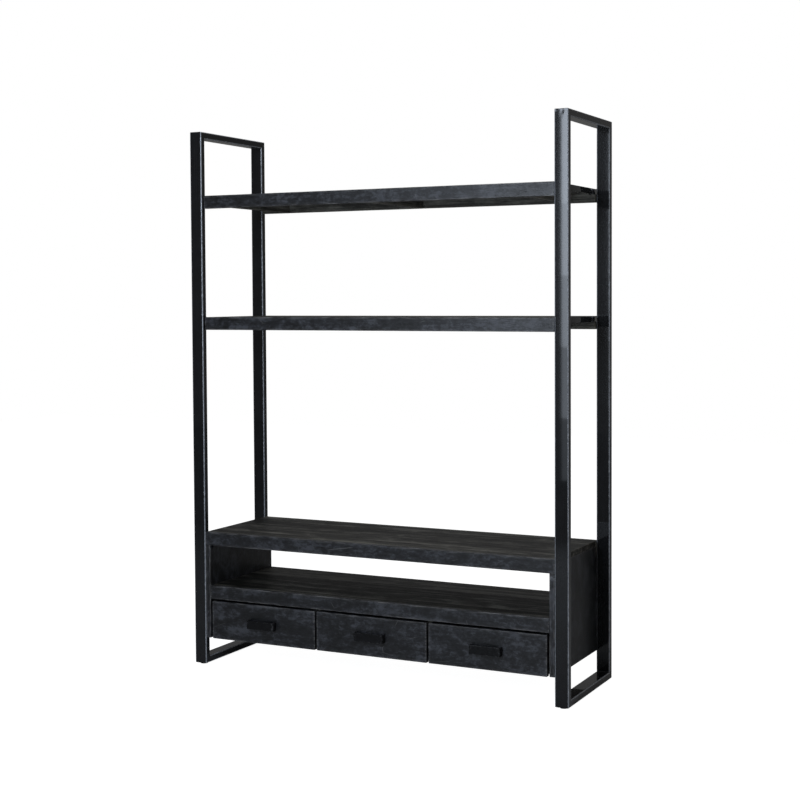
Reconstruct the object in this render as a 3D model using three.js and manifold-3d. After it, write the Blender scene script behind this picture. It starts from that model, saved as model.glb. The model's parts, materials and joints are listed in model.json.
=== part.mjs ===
// Bookcase: two welded steel side frames, two lipped shelves between them, and a low
// cabinet with an open compartment over three drawers.
// Millimetres. +X to the right, +Y to the back, +Z up; the drawers pull out towards -Y.
// The origin is on the floor, in the middle of the bookcase's outer box.
import * as THREE from 'three';
import { mergeVertices } from 'three/addons/utils/BufferGeometryUtils.js';
import Module from 'manifold-3d';

const wasm = await Module();
wasm.setup();

// ---- Driving dimensions ----------------------------------------------------------------

// overall size of the two side frames
const WIDTH = 1500;
const DEPTH = 450;
const FRAME_HEIGHT = 2000;

// steel tube of the frames: wide face to the front, thin side to the outside
const TUBE_FACE = 50;
const TUBE_THICK = 25;
const TUBE_WALL = 2;
const TUBE_CORNER = 3.5;

// glides under the frames, each with a stem that stands in the bottom rail
const GLIDE_HEIGHT = 5;
const GLIDE_DIAMETER = 28;
const GLIDE_EDGE = 1.2;
const GLIDE_INSET = 22;
const STEM_DIAMETER = 8;
const STEM_HEIGHT = 14;

// the two upper shelves, hung from the top of the frames down
const UPPER_SHELF_DROP = 238;
const SHELF_SPACING = 453;
const SHELF_SETBACK = 8;
const LIP_HEIGHT = 48;
const LIP_THICK = 20;
const BOARD_THICK = 18;
const BATTEN_WIDTH = 30;
const BATTEN_RISE = 1;
const BATTEN_INSET = 115;

// steel angles, welded to the posts, that carry the shelves
const ANGLE_THICK = 3;
const ANGLE_LEG = 20;
const ANGLE_DROP = 1;
const ANGLE_SETBACK = 4;

// cabinet carcass
const CABINET_TOP = 505;
const CABINET_EDGE = 50;
const FRONT_SETBACK = 2;
const BACK_SETBACK = 8;
const MIDDLE_TOP = 303;
const PANEL_THICK = 20;
const PANEL_BOTTOM = 104;
const DIVIDER_THICK = 18;
const FLOOR_THICK = 12;
const FLOOR_RISE = 4;
const BACK_THICK = 12;

// drawers
const DRAWERS = ['left', 'middle', 'right'];
const FRONT_BOTTOM = 103;
const FRONT_THICK = 20;
const FRONT_GAP = 8;
const FRONT_TOP_GAP = 8;
const FRONT_STOP_GAP = 1.5;
const BOX_WALL = 12;
const BOX_DROP = 12;
const BASE_THICK = 6;
const BASE_RISE = 8;
const GROOVE_DEPTH = 5;
const BOX_SIDE_PLAY = 2;
const BOX_FLOOR_PLAY = 0.6;
const BOX_BACK_ROOM = 12;

// strap handles
const HANDLE_LENGTH = 118;
const HANDLE_HEIGHT = 31;
const HANDLE_PROUD = 22;
const HANDLE_THICK = 4;
const HANDLE_BEND = 6;

// clearances: pieces that meet face to face, and a stem in its hole
const FIT = 0.3;
const STEM_PLAY = 0.6;

// ---- Finishes --------------------------------------------------------------------------

const BLACK_STEEL = { color: 0x15171a, roughness: 0.45, metalness: 0.6 };
const BLACK_IRON = { color: 0x101112, roughness: 0.5, metalness: 0.7 };
const BLACK_WOOD = { color: 0x26272a, roughness: 0.6, metalness: 0.0 };
const BOX_WOOD = { color: 0x3a332b, roughness: 0.75, metalness: 0.0 };
const BLACK_PLASTIC = { color: 0x0d0d0e, roughness: 0.6, metalness: 0.0 };

// ---- Planes that several pieces share --------------------------------------------------

const halfDepth = DEPTH / 2;
const upperShelfTop = GLIDE_HEIGHT + FRAME_HEIGHT - UPPER_SHELF_DROP;
const lowerShelfTop = upperShelfTop - SHELF_SPACING;
const frameInnerX = WIDTH / 2 - TUBE_FACE;
const cabinetX = frameInnerX - FIT;
const panelInnerX = cabinetX - PANEL_THICK;
const carcassX = panelInnerX - FIT;
const cabinetFrontY = -halfDepth + FRONT_SETBACK;
const cabinetBackY = halfDepth - BACK_SETBACK;
const middleEdgeBottom = MIDDLE_TOP - CABINET_EDGE;
const middleUnderside = MIDDLE_TOP - BOARD_THICK;
const floorBottom = PANEL_BOTTOM + FLOOR_RISE;
const floorTop = floorBottom + FLOOR_THICK;
const cabinetEdgeY = [cabinetFrontY, cabinetFrontY + LIP_THICK];
const frontBackY = cabinetFrontY + FRONT_THICK;
const carcassFrontY = Math.max(frontBackY, cabinetEdgeY[1]) + FRONT_STOP_GAP;
const backPanelY = cabinetBackY - BACK_THICK;

// ---- Solids ----------------------------------------------------------------------------

function toManifold(geometry) {
  const bare = geometry.clone();
  bare.deleteAttribute('normal');
  bare.deleteAttribute('uv');
  const merged = mergeVertices(bare, 1e-4);
  return new wasm.Manifold(new wasm.Mesh({
    numProp: 3,
    vertProperties: new Float32Array(merged.attributes.position.array),
    triVerts: new Uint32Array(merged.index.array),
  }));
}

function toGeometry(solid) {
  const mesh = solid.getMesh();
  const geometry = new THREE.BufferGeometry();
  geometry.setAttribute('position', new THREE.BufferAttribute(mesh.vertProperties, 3));
  geometry.setIndex(new THREE.BufferAttribute(mesh.triVerts, 1));
  geometry.computeVertexNormals();
  return geometry;
}

function joined(first, second) {
  return toGeometry(toManifold(first).add(toManifold(second)));
}

function cut(geometry, tools) {
  let solid = toManifold(geometry);
  for (const tool of tools) {
    solid = solid.subtract(toManifold(tool));
  }
  return toGeometry(solid);
}

// a box given by its two ends along each axis
function boxBetween(xEnds, yEnds, zEnds) {
  const ends = [xEnds, yEnds, zEnds];
  const geometry = new THREE.BoxGeometry(...ends.map(([low, high]) => high - low));
  geometry.translate(...ends.map(([low, high]) => (low + high) / 2));
  return geometry;
}

function addPiece(parent, name, geometry, finish) {
  const mesh = new THREE.Mesh(geometry, new THREE.MeshStandardMaterial(finish));
  mesh.name = name;
  parent.add(mesh);
  return mesh;
}

// ends of a span on the left or right side of the middle, given outer and inner distance
function spanOnSide(side, inner, outer) {
  return side === 'left' ? [-outer, -inner] : [inner, outer];
}

// ---- Side frames -----------------------------------------------------------------------

function roundedOutline(outline, width, height, radius) {
  const x = width / 2 - radius;
  const y = height / 2 - radius;
  outline.moveTo(-x, -y - radius);
  outline.absarc(x, -y, radius, -Math.PI / 2, 0);
  outline.absarc(x, y, radius, 0, Math.PI / 2);
  outline.absarc(-x, y, radius, Math.PI / 2, Math.PI);
  outline.absarc(-x, -y, radius, Math.PI, 1.5 * Math.PI);
  return outline;
}

// a square-cut length of tube along Z, with the origin in its middle
function tubeGeometry(length) {
  const section = roundedOutline(new THREE.Shape(), TUBE_FACE, TUBE_THICK, TUBE_CORNER);
  const boreCorner = Math.max(TUBE_CORNER - TUBE_WALL, TUBE_WALL / 4);
  section.holes.push(roundedOutline(
    new THREE.Path(), TUBE_FACE - 2 * TUBE_WALL, TUBE_THICK - 2 * TUBE_WALL, boreCorner));
  const geometry = new THREE.ExtrudeGeometry(section, {
    depth: length,
    bevelEnabled: false,
    curveSegments: 4,
  });
  geometry.translate(0, 0, -length / 2);
  return geometry;
}

// a tube along Z with a 45 degree mitre at each end; its long side is the -Y side
function mitredTube(length, holes) {
  const size = 4 * TUBE_THICK;
  const topCutter = new THREE.BoxGeometry(2 * TUBE_FACE, size, size);
  topCutter.translate(0, 0, (size - FIT) / 2);
  topCutter.rotateX(-Math.PI / 4);
  topCutter.translate(0, -TUBE_THICK / 2, length / 2);
  const bottomCutter = topCutter.clone();
  bottomCutter.rotateY(Math.PI);
  return cut(tubeGeometry(length), [topCutter, bottomCutter, ...holes]);
}

// holes through the long side of a bottom rail, one for each glide's stem
function stemHoles() {
  return [-1, 1].map((end) => {
    const hole = new THREE.CylinderGeometry(
      STEM_DIAMETER / 2 + STEM_PLAY, STEM_DIAMETER / 2 + STEM_PLAY, 3 * TUBE_WALL, 24);
    hole.translate(0, -TUBE_THICK / 2, end * (halfDepth - GLIDE_INSET));
    return hole;
  });
}

function glideGeometry() {
  const radius = GLIDE_DIAMETER / 2;
  const flangeTop = GLIDE_HEIGHT - FIT;
  const profile = [
    [0, 0],
    [radius - GLIDE_EDGE, 0],
    [radius, GLIDE_EDGE],
    [radius, flangeTop],
    [STEM_DIAMETER / 2, flangeTop],
    [STEM_DIAMETER / 2, GLIDE_HEIGHT + STEM_HEIGHT],
    [0, GLIDE_HEIGHT + STEM_HEIGHT],
  ];
  const geometry = new THREE.LatheGeometry(profile.map(([r, z]) => new THREE.Vector2(r, z)), 32);
  geometry.rotateX(Math.PI / 2);
  return geometry;
}

function addSideFrame(parent, side) {
  const frame = new THREE.Group();
  frame.position.set((side === 'left' ? -1 : 1) * (WIDTH - TUBE_FACE) / 2, 0, 0);
  parent.add(frame);

  const postY = halfDepth - TUBE_THICK / 2;
  const middleZ = GLIDE_HEIGHT + FRAME_HEIGHT / 2;
  const railZ = FRAME_HEIGHT / 2 - TUBE_THICK / 2;

  const frontPost = addPiece(frame, `${side}_front_post`, mitredTube(FRAME_HEIGHT, []), BLACK_STEEL);
  frontPost.position.set(0, -postY, middleZ);
  const backPost = addPiece(frame, `${side}_back_post`, mitredTube(FRAME_HEIGHT, []), BLACK_STEEL);
  backPost.position.set(0, postY, middleZ);
  backPost.rotation.z = Math.PI;
  const topRail = addPiece(frame, `${side}_top_rail`, mitredTube(DEPTH, []), BLACK_STEEL);
  topRail.position.set(0, 0, middleZ + railZ);
  topRail.rotation.x = -Math.PI / 2;
  const bottomRail = addPiece(frame, `${side}_bottom_rail`, mitredTube(DEPTH, stemHoles()), BLACK_STEEL);
  bottomRail.position.set(0, 0, middleZ - railZ);
  bottomRail.rotation.x = Math.PI / 2;

  for (const [end, sign] of [['front', -1], ['back', 1]]) {
    const glide = addPiece(frame, `${side}_${end}_glide`, glideGeometry(), BLACK_PLASTIC);
    glide.position.y = sign * (halfDepth - GLIDE_INSET);
  }
}

// ---- Boards with lips ------------------------------------------------------------------

// a thin board between a tall front edge and a tall back edge, all flush on top
function addLippedBoard(parent, name, top, endX, frontY, backY, edgeHeight) {
  const edgeZ = [top - edgeHeight, top];
  addPiece(parent, `${name}_front_edge`,
    boxBetween([-endX, endX], [frontY, frontY + LIP_THICK], edgeZ), BLACK_WOOD);
  addPiece(parent, `${name}_back_edge`,
    boxBetween([-endX, endX], [backY - LIP_THICK, backY], edgeZ), BLACK_WOOD);
  addPiece(parent, `${name}_board`,
    boxBetween([-endX, endX], [frontY + LIP_THICK + FIT, backY - LIP_THICK - FIT],
      [top - BOARD_THICK, top]), BLACK_WOOD);
}

// a steel angle: its upright leg on the posts, its flat leg under the shelf board
function angleGeometry(side, top) {
  const outerX = frameInnerX - FIT;
  const legTop = top - BOARD_THICK - FIT;
  const uprightY = halfDepth - SHELF_SETBACK - ANGLE_SETBACK;
  const flatY = halfDepth - SHELF_SETBACK - LIP_THICK - FIT;
  return joined(
    boxBetween(spanOnSide(side, outerX - ANGLE_THICK, outerX), [-uprightY, uprightY],
      [legTop - ANGLE_THICK, top - ANGLE_DROP]),
    boxBetween(spanOnSide(side, outerX - ANGLE_LEG, outerX), [-flatY, flatY],
      [legTop - ANGLE_THICK, legTop]));
}

function addShelf(parent, name, top) {
  const endX = frameInnerX - 2 * FIT - ANGLE_THICK;
  const faceY = halfDepth - SHELF_SETBACK;
  addLippedBoard(parent, name, top, endX, -faceY, faceY, LIP_HEIGHT);
  const battenY = faceY - LIP_THICK - FIT;
  const battenZ = [top - LIP_HEIGHT + BATTEN_RISE, top - BOARD_THICK - FIT];
  for (const [place, side] of [['left', -1], ['middle', 0], ['right', 1]]) {
    const x = side * (frameInnerX - BATTEN_INSET);
    addPiece(parent, `${name}_${place}_batten`,
      boxBetween([x - BATTEN_WIDTH / 2, x + BATTEN_WIDTH / 2], [-battenY, battenY], battenZ), BLACK_WOOD);
  }
  for (const side of ['left', 'right']) {
    addPiece(parent, `${name}_${side}_angle`, angleGeometry(side, top), BLACK_STEEL);
  }
}

// ---- Cabinet carcass -------------------------------------------------------------------

const frontWidth = (2 * panelInnerX - (DRAWERS.length + 1) * FRONT_GAP) / DRAWERS.length;
const frontPitch = frontWidth + FRONT_GAP;

// middle of drawer front number i, and of the divider on its right
function frontCentre(i) {
  return (i - (DRAWERS.length - 1) / 2) * frontPitch;
}

function dividerCentre(i) {
  return frontCentre(i) + frontPitch / 2;
}

// a side panel, notched at its upper corners for the edges of the cabinet top
function sidePanelGeometry(side) {
  const panelTop = CABINET_TOP - BOARD_THICK - FIT;
  const notchZ = [CABINET_TOP - CABINET_EDGE - FIT, CABINET_TOP];
  const notchX = spanOnSide(side, panelInnerX - 1, cabinetX + 1);
  const panel = boxBetween(spanOnSide(side, panelInnerX, cabinetX),
    [cabinetFrontY, cabinetBackY], [PANEL_BOTTOM, panelTop]);
  return cut(panel, [
    boxBetween(notchX, [cabinetFrontY - 1, cabinetEdgeY[1] + FIT], notchZ),
    boxBetween(notchX, [cabinetBackY - LIP_THICK - FIT, cabinetBackY + 1], notchZ),
  ]);
}

function addCarcass(parent) {
  addLippedBoard(parent, 'cabinet_top', CABINET_TOP, cabinetX, cabinetFrontY, cabinetBackY, CABINET_EDGE);
  for (const side of ['left', 'right']) {
    addPiece(parent, `cabinet_${side}_panel`, sidePanelGeometry(side), BLACK_WOOD);
  }
  const across = [-carcassX, carcassX];
  addPiece(parent, 'cabinet_middle_front_edge',
    boxBetween(across, cabinetEdgeY, [middleEdgeBottom, MIDDLE_TOP]), BLACK_WOOD);
  addPiece(parent, 'cabinet_middle_board',
    boxBetween(across, [cabinetEdgeY[1] + FIT, cabinetBackY], [middleUnderside, MIDDLE_TOP]), BLACK_WOOD);
  addPiece(parent, 'cabinet_back_panel',
    boxBetween(across, [backPanelY, cabinetBackY], [floorBottom, middleUnderside - FIT]), BLACK_WOOD);
  addPiece(parent, 'cabinet_floor',
    boxBetween(across, [carcassFrontY, backPanelY - FIT], [floorBottom, floorTop]), BLACK_WOOD);
  for (let i = 0; i < DRAWERS.length - 1; i += 1) {
    const x = dividerCentre(i);
    addPiece(parent, `divider_${DRAWERS[i]}_${DRAWERS[i + 1]}`,
      boxBetween([x - DIVIDER_THICK / 2, x + DIVIDER_THICK / 2], [carcassFrontY, backPanelY - FIT],
        [floorTop + FIT, middleUnderside - FIT]), BLACK_WOOD);
  }
}

// ---- Drawers ---------------------------------------------------------------------------

// a flat strap bent back at both ends; its feet meet the drawer front at y = 0
function handleGeometry() {
  const x = HANDLE_LENGTH / 2;
  const inner = Math.max(HANDLE_BEND - HANDLE_THICK, HANDLE_THICK / 4);
  const innerX = x - HANDLE_THICK;
  const innerY = HANDLE_PROUD - HANDLE_THICK;
  const strap = new THREE.Shape();
  strap.moveTo(x, FIT);
  strap.absarc(x - HANDLE_BEND, HANDLE_PROUD - HANDLE_BEND, HANDLE_BEND, 0, Math.PI / 2);
  strap.absarc(-x + HANDLE_BEND, HANDLE_PROUD - HANDLE_BEND, HANDLE_BEND, Math.PI / 2, Math.PI);
  strap.lineTo(-x, FIT);
  strap.lineTo(-innerX, FIT);
  strap.absarc(-innerX + inner, innerY - inner, inner, Math.PI, Math.PI / 2, true);
  strap.absarc(innerX - inner, innerY - inner, inner, Math.PI / 2, 0, true);
  strap.lineTo(innerX, FIT);
  const geometry = new THREE.ExtrudeGeometry(strap, {
    depth: HANDLE_HEIGHT,
    bevelEnabled: false,
    curveSegments: 6,
  });
  geometry.translate(0, 0, -HANDLE_HEIGHT / 2);
  geometry.rotateX(Math.PI);
  return geometry;
}

function addDrawer(parent, i) {
  const place = DRAWERS[i];
  const drawer = new THREE.Group();
  drawer.position.x = frontCentre(i);
  parent.add(drawer);

  const bayLow = i === 0 ? -panelInnerX : dividerCentre(i - 1) + DIVIDER_THICK / 2;
  const bayHigh = i === DRAWERS.length - 1 ? panelInnerX : dividerCentre(i) - DIVIDER_THICK / 2;
  const low = bayLow + BOX_SIDE_PLAY - frontCentre(i);
  const high = bayHigh - BOX_SIDE_PLAY - frontCentre(i);

  const frontTop = middleEdgeBottom - FRONT_TOP_GAP;
  const boxZ = [floorTop + BOX_FLOOR_PLAY, frontTop - BOX_DROP];
  const boxFrontY = frontBackY + FIT;
  const boxBackY = backPanelY - BOX_BACK_ROOM;
  const rearY = [boxBackY - BOX_WALL, boxBackY];

  // the base stands in grooves, with the fit clearance on every side
  const hold = GROOVE_DEPTH - FIT;
  const baseX = [low + BOX_WALL - hold, high - BOX_WALL + hold];
  const baseY = [frontBackY - hold, rearY[0] + hold];
  const baseZ = [boxZ[0] + BASE_RISE, boxZ[0] + BASE_RISE + BASE_THICK];
  const widened = ([from, to]) => [from - FIT, to + FIT];
  const groove = boxBetween(widened(baseX), widened(baseY), widened(baseZ));
  const sideGroove = boxBetween(widened(baseX), [boxFrontY - 1, boxBackY + 1], widened(baseZ));

  addPiece(drawer, `${place}_drawer_front`,
    cut(boxBetween([-frontWidth / 2, frontWidth / 2], [cabinetFrontY, frontBackY], [FRONT_BOTTOM, frontTop]),
      [groove]), BLACK_WOOD);
  addPiece(drawer, `${place}_drawer_left_side`,
    cut(boxBetween([low, low + BOX_WALL], [boxFrontY, boxBackY], boxZ), [sideGroove]), BOX_WOOD);
  addPiece(drawer, `${place}_drawer_right_side`,
    cut(boxBetween([high - BOX_WALL, high], [boxFrontY, boxBackY], boxZ), [sideGroove]), BOX_WOOD);
  addPiece(drawer, `${place}_drawer_back`,
    cut(boxBetween([low + BOX_WALL + FIT, high - BOX_WALL - FIT], rearY, boxZ), [groove]), BOX_WOOD);
  addPiece(drawer, `${place}_drawer_base`, boxBetween(baseX, baseY, baseZ), BOX_WOOD);

  const handle = addPiece(drawer, `${place}_handle`, handleGeometry(), BLACK_IRON);
  handle.position.set(0, cabinetFrontY, (FRONT_BOTTOM + frontTop) / 2);
}

// ---- Assembly --------------------------------------------------------------------------

const bookcase = new THREE.Group();
// the handles may stand in front of the frames: the origin stays in the middle of the whole
bookcase.position.y = Math.max(HANDLE_PROUD - FRONT_SETBACK, 0) / 2;
for (const side of ['left', 'right']) {
  addSideFrame(bookcase, side);
}
addShelf(bookcase, 'upper_shelf', upperShelfTop);
addShelf(bookcase, 'lower_shelf', lowerShelfTop);
addCarcass(bookcase);
for (let i = 0; i < DRAWERS.length; i += 1) {
  addDrawer(bookcase, i);
}

export default bookcase;
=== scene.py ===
# %% [markdown]
# # A black bookcase, finished in Blender
# The bookcase comes from a CAD model: plain solids of the right size in the right place.
# This script gives every piece its real surface: rounded arrises, stained mango wood,
# powder-coated tube, welds and screws. Everything is in metres, in the CAD model's frame:
# +X to the right, +Y to the back, +Z up, with the floor at zero.

# %% The CAD frame
import json
import math
import random

import bmesh
import bpy
import numpy as np
from mathutils import Matrix, Vector, noise


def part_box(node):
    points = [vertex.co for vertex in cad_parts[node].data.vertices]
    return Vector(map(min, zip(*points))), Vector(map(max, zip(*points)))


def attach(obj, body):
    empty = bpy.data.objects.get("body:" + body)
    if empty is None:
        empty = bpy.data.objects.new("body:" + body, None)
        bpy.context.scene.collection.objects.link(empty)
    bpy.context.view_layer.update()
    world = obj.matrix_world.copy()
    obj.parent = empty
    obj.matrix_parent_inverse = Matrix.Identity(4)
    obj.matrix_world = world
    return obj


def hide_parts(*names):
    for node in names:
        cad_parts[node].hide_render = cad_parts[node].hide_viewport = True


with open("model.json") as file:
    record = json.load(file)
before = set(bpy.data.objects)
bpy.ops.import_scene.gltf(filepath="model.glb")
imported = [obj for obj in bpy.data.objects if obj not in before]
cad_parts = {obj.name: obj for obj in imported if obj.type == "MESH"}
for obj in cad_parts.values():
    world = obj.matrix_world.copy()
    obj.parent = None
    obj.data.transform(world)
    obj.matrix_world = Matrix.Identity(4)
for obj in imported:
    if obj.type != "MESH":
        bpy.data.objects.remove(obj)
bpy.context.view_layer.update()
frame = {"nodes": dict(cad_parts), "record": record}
BODY_OF = {name: body for body, names in frame["record"]["behaviour"]["bodies"].items() for name in names}

# %% [markdown]
# ## The camera
# The bookcase is seen from standing height through a long lens, so that its posts stay
# nearly upright. The camera is placed by a point and three angles: the azimuth turns it
# round the object, the pitch tips it down, and a hint of roll levels the floor line.
# The lens is shifted a little, which leaves the posts straighter than tilting more would.

# %% Camera
CAMERA_PLACE = (2.4567, -4.8682, 1.3856)
CAMERA_AZIMUTH = 26.536
CAMERA_PITCH = -2.379
CAMERA_ROLL = -0.304
LENS_MM = 66.94
LENS_SHIFT = (-0.0025, -0.0516)


def add_camera():
    data = bpy.data.cameras.new("camera")
    data.lens = LENS_MM
    data.sensor_width = 36.0
    data.shift_x, data.shift_y = LENS_SHIFT
    camera = bpy.data.objects.new("camera", data)
    bpy.context.scene.collection.objects.link(camera)
    camera.matrix_world = (
        Matrix.Translation(CAMERA_PLACE)
        @ Matrix.Rotation(math.radians(CAMERA_AZIMUTH), 4, "Z")
        @ Matrix.Rotation(math.radians(90 + CAMERA_PITCH), 4, "X")
        @ Matrix.Rotation(math.radians(CAMERA_ROLL), 4, "Z")
    )
    bpy.context.scene.camera = camera
    return camera


camera = add_camera()
bpy.context.scene.view_settings.view_transform = "Standard"
print("camera at", tuple(round(value, 3) for value in camera.matrix_world.translation))

# %% [markdown]
# ## A short way to write materials
# A procedural material is a tree of nodes. This helper makes one node, sets its choices
# and fills its sockets: a socket is linked, a plain value is typed in. With it a material
# reads like a recipe, from the pattern at the top to the shader at the bottom.


# %% Node helpers
def add_node(tree, kind, settings=None, inputs=None):
    made = tree.nodes.new(kind)
    for key, value in (settings or {}).items():
        setattr(made, key, value)
    for key, value in (inputs or {}).items():
        if isinstance(value, bpy.types.NodeSocket):
            tree.links.new(value, made.inputs[key])
        else:
            made.inputs[key].default_value = value
    return made


def calc(tree, operation, first, second=0.0, third=0.0, clamp=False):
    made = add_node(tree, "ShaderNodeMath", {"operation": operation, "use_clamp": clamp},
                    {0: first, 1: second, 2: third})
    return made.outputs[0]


def noise_at(tree, place, scale, detail=3.0, rough=0.55, distortion=0.0):
    """Noise stretched by a scale for each direction; gives a value around a half."""
    placed = add_node(tree, "ShaderNodeMapping", {}, {"Vector": place, "Scale": scale})
    made = add_node(tree, "ShaderNodeTexNoise", {}, {
        "Vector": placed.outputs[0], "Scale": 1.0, "Detail": detail,
        "Roughness": rough, "Distortion": distortion})
    return made.outputs[0]


def ramp(tree, factor, stops):
    """A colour ramp from a list of (position, grey or colour)."""
    made = add_node(tree, "ShaderNodeValToRGB", {}, {"Fac": factor})
    elements = made.color_ramp.elements
    while len(elements) < len(stops):
        elements.new(0.5)
    for element, (position, colour) in zip(elements, stops):
        element.position = position
        rgb = (colour,) * 3 if isinstance(colour, float) else colour
        element.color = (*rgb, 1.0)
    return made.outputs[0]


def mix_colours(tree, factor, first, second):
    made = add_node(tree, "ShaderNodeMix", {"data_type": "RGBA"}, {0: factor})
    for index, value in ((6, first), (7, second)):
        if isinstance(value, bpy.types.NodeSocket):
            tree.links.new(value, made.inputs[index])
        else:
            made.inputs[index].default_value = (*value, 1.0)
    return made.outputs[2]


def new_material(name):
    material = bpy.data.materials.new(name)
    material.use_nodes = True
    tree = material.node_tree
    return material, tree, tree.nodes["Principled BSDF"]


def bump(tree, height, strength, distance):
    made = add_node(tree, "ShaderNodeBump", {}, {
        "Height": height, "Strength": strength, "Distance": distance})
    return made.outputs[0]


def attribute(tree, name, output):
    return add_node(tree, "ShaderNodeAttribute", {"attribute_name": name}).outputs[output]


print("node helpers ready")

# %% [markdown]
# ## Black stained mango wood
# Mango wood has a lively figure: long fibres, short dark pores, and cloudy patches where
# the stain took unevenly. The boards were stained black and lightly sanded, so the arrises
# are rubbed through. Every board carries two attributes on its vertices. *grain* is the
# place in the board's own frame, along the fibres, across them and into the depth, moved
# by a random amount, so that one material serves boards in all directions and no two look
# alike. *arris* is 1 on a rounded edge and fades to 0 a few millimetres away.

# %% Wood finish
PLANK_WIDTH = 0.105
PLANK_SHIFT = 7.0


def wood_finish(name, tones, rubbed, roughness, specular, shares):
    """tones are the darkest, middle and lightest stain; rubbed is the colour of worn arrises;
    shares say how much fibres, streaks, clouds, patches and planks vary the stain."""
    material, tree, shader = new_material(name)
    grain = attribute(tree, "grain", "Vector")
    arris = attribute(tree, "arris", "Fac")

    # each glued-up plank has a tone of its own and a shift along its fibres
    across = add_node(tree, "ShaderNodeSeparateXYZ", {}, {"Vector": grain}).outputs[1]
    plank = calc(tree, "FLOOR", calc(tree, "DIVIDE", across, PLANK_WIDTH))
    dice = add_node(tree, "ShaderNodeTexWhiteNoise", {"noise_dimensions": "1D"}, {"W": plank})
    plank_tone = dice.outputs[0]
    slide = add_node(tree, "ShaderNodeCombineXYZ", {}, {
        "X": calc(tree, "MULTIPLY", plank_tone, PLANK_SHIFT)})
    moved = add_node(tree, "ShaderNodeVectorMath", {"operation": "ADD"}, {0: grain, 1: slide.outputs[0]})
    shifted = moved.outputs[0]

    patterns = {
        "fibre": noise_at(tree, shifted, (14, 330, 330), 4.0, 0.62, 0.2),
        "streak": noise_at(tree, shifted, (1.6, 48, 48), 4.0, 0.6, 0.9),
        "cloud": noise_at(tree, grain, (48, 66, 66), 8.0, 0.78, 0.5),
        "patch": noise_at(tree, grain, (8, 15, 15), 4.0, 0.65, 0.8),
        "plank": plank_tone,
    }
    tone = 0.0
    for part, share in shares.items():
        centred = calc(tree, "SUBTRACT", patterns[part], 0.5)
        tone = calc(tree, "MULTIPLY_ADD", centred, share, tone)
    swell = noise_at(tree, shifted, (1.5, 13, 13), 2.0, 0.5, 0.8)
    rings = calc(tree, "MULTIPLY_ADD", calc(tree, "SINE", calc(tree, "MULTIPLY", swell, 95.0)), 0.5, 0.5)
    tone = calc(tree, "MULTIPLY_ADD", ramp(tree, rings, [(0.0, 1.0), (0.2, 0.0)]), -0.04, tone)
    level = calc(tree, "MULTIPLY_ADD", tone, 2.0, 0.5)
    stain = ramp(tree, level, [(0.2, tones[0]), (0.5, tones[1]), (0.85, tones[2])])
    pores = ramp(tree, noise_at(tree, shifted, (65, 950, 950), 2.0, 0.5), [(0.60, 0.0), (0.70, 1.0)])
    stain = mix_colours(tree, calc(tree, "MULTIPLY", pores, 0.5), stain, tones[0])

    # rubbed arrises, broken up by noise
    bite = calc(tree, "MULTIPLY_ADD", noise_at(tree, grain, (22, 200, 200), 4.0, 0.7), 4.0, -1.75)
    rub = calc(tree, "MULTIPLY", arris, calc(tree, "MAXIMUM", bite, 0.0), clamp=True)
    rub = calc(tree, "MULTIPLY", rub, 0.85)
    colour = mix_colours(tree, rub, stain, rubbed)

    # a few pale scratches from handling
    cells = add_node(tree, "ShaderNodeMapping", {}, {
        "Vector": grain, "Scale": (7, 16, 16), "Rotation": (0, 0, 0.5)})
    crack = add_node(tree, "ShaderNodeTexVoronoi", {"feature": "DISTANCE_TO_EDGE"}, {
        "Vector": cells.outputs[0], "Scale": 1.0, "Randomness": 1.0}).outputs[0]
    thin = ramp(tree, crack, [(0.0, 1.0), (0.008, 0.0)])
    rare = ramp(tree, noise_at(tree, grain, (9, 14, 14), 2.0), [(0.60, 0.0), (0.68, 1.0)])
    scratch = calc(tree, "MULTIPLY", calc(tree, "MULTIPLY", thin, rare), 0.5)
    tree.links.new(mix_colours(tree, scratch, colour, rubbed), shader.inputs["Base Color"])

    gloss = calc(tree, "MULTIPLY_ADD", patterns["fibre"], 0.2, roughness - 0.32)
    gloss = calc(tree, "MULTIPLY_ADD", patterns["cloud"], 0.45, gloss)
    tree.links.new(calc(tree, "MULTIPLY_ADD", rub, -0.1, gloss, clamp=True), shader.inputs["Roughness"])
    height = calc(tree, "MULTIPLY", patterns["fibre"], 0.35)
    for part, share in ((pores, -0.5), (patterns["cloud"], 0.9), (scratch, -0.5)):
        height = calc(tree, "MULTIPLY_ADD", part, share, height)
    tree.links.new(bump(tree, height, 0.6, 0.0008), shader.inputs["Normal"])
    shader.inputs["Specular IOR Level"].default_value = specular
    return material


CLOUDY = {"fibre": 0.28, "streak": 0.25, "cloud": 1.10, "patch": 1.00, "plank": 0.03}
STREAKY = {"fibre": 0.40, "streak": 1.20, "cloud": 0.35, "patch": 0.70, "plank": 0.16}
# Painted light: the front copy is cool and dark and the top copy warm and light, as the front and top lamps
# colour them.
front_wood = wood_finish("front_wood",
                         ((0.0025, 0.0028, 0.0036), (0.0108, 0.0114, 0.0138), (0.050, 0.053, 0.062)),
                         (0.24, 0.235, 0.23), 0.38, 0.52, CLOUDY)
top_wood = wood_finish("top_wood", ((0.007, 0.0066, 0.0055), (0.034, 0.0327, 0.028), (0.17, 0.162, 0.14)),
                       (0.18, 0.165, 0.13), 0.50, 0.25, STREAKY)
# Painted light: a pale copy for the back lips and battens, standing in for the light that reaches in under
# the shelves. The box copy below is the drawer boxes' own wood.
under_wood = wood_finish("under_wood", ((0.06, 0.058, 0.05), (0.15, 0.147, 0.128), (0.27, 0.26, 0.23)),
                         (0.20, 0.185, 0.15), 0.60, 0.3, STREAKY)
box_wood = wood_finish("box_wood", ((0.018, 0.015, 0.012), (0.042, 0.035, 0.028), (0.085, 0.072, 0.058)),
                       (0.16, 0.13, 0.10), 0.70, 0.3, STREAKY)
print("wood finishes:", front_wood.name, top_wood.name, under_wood.name, box_wood.name)
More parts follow.
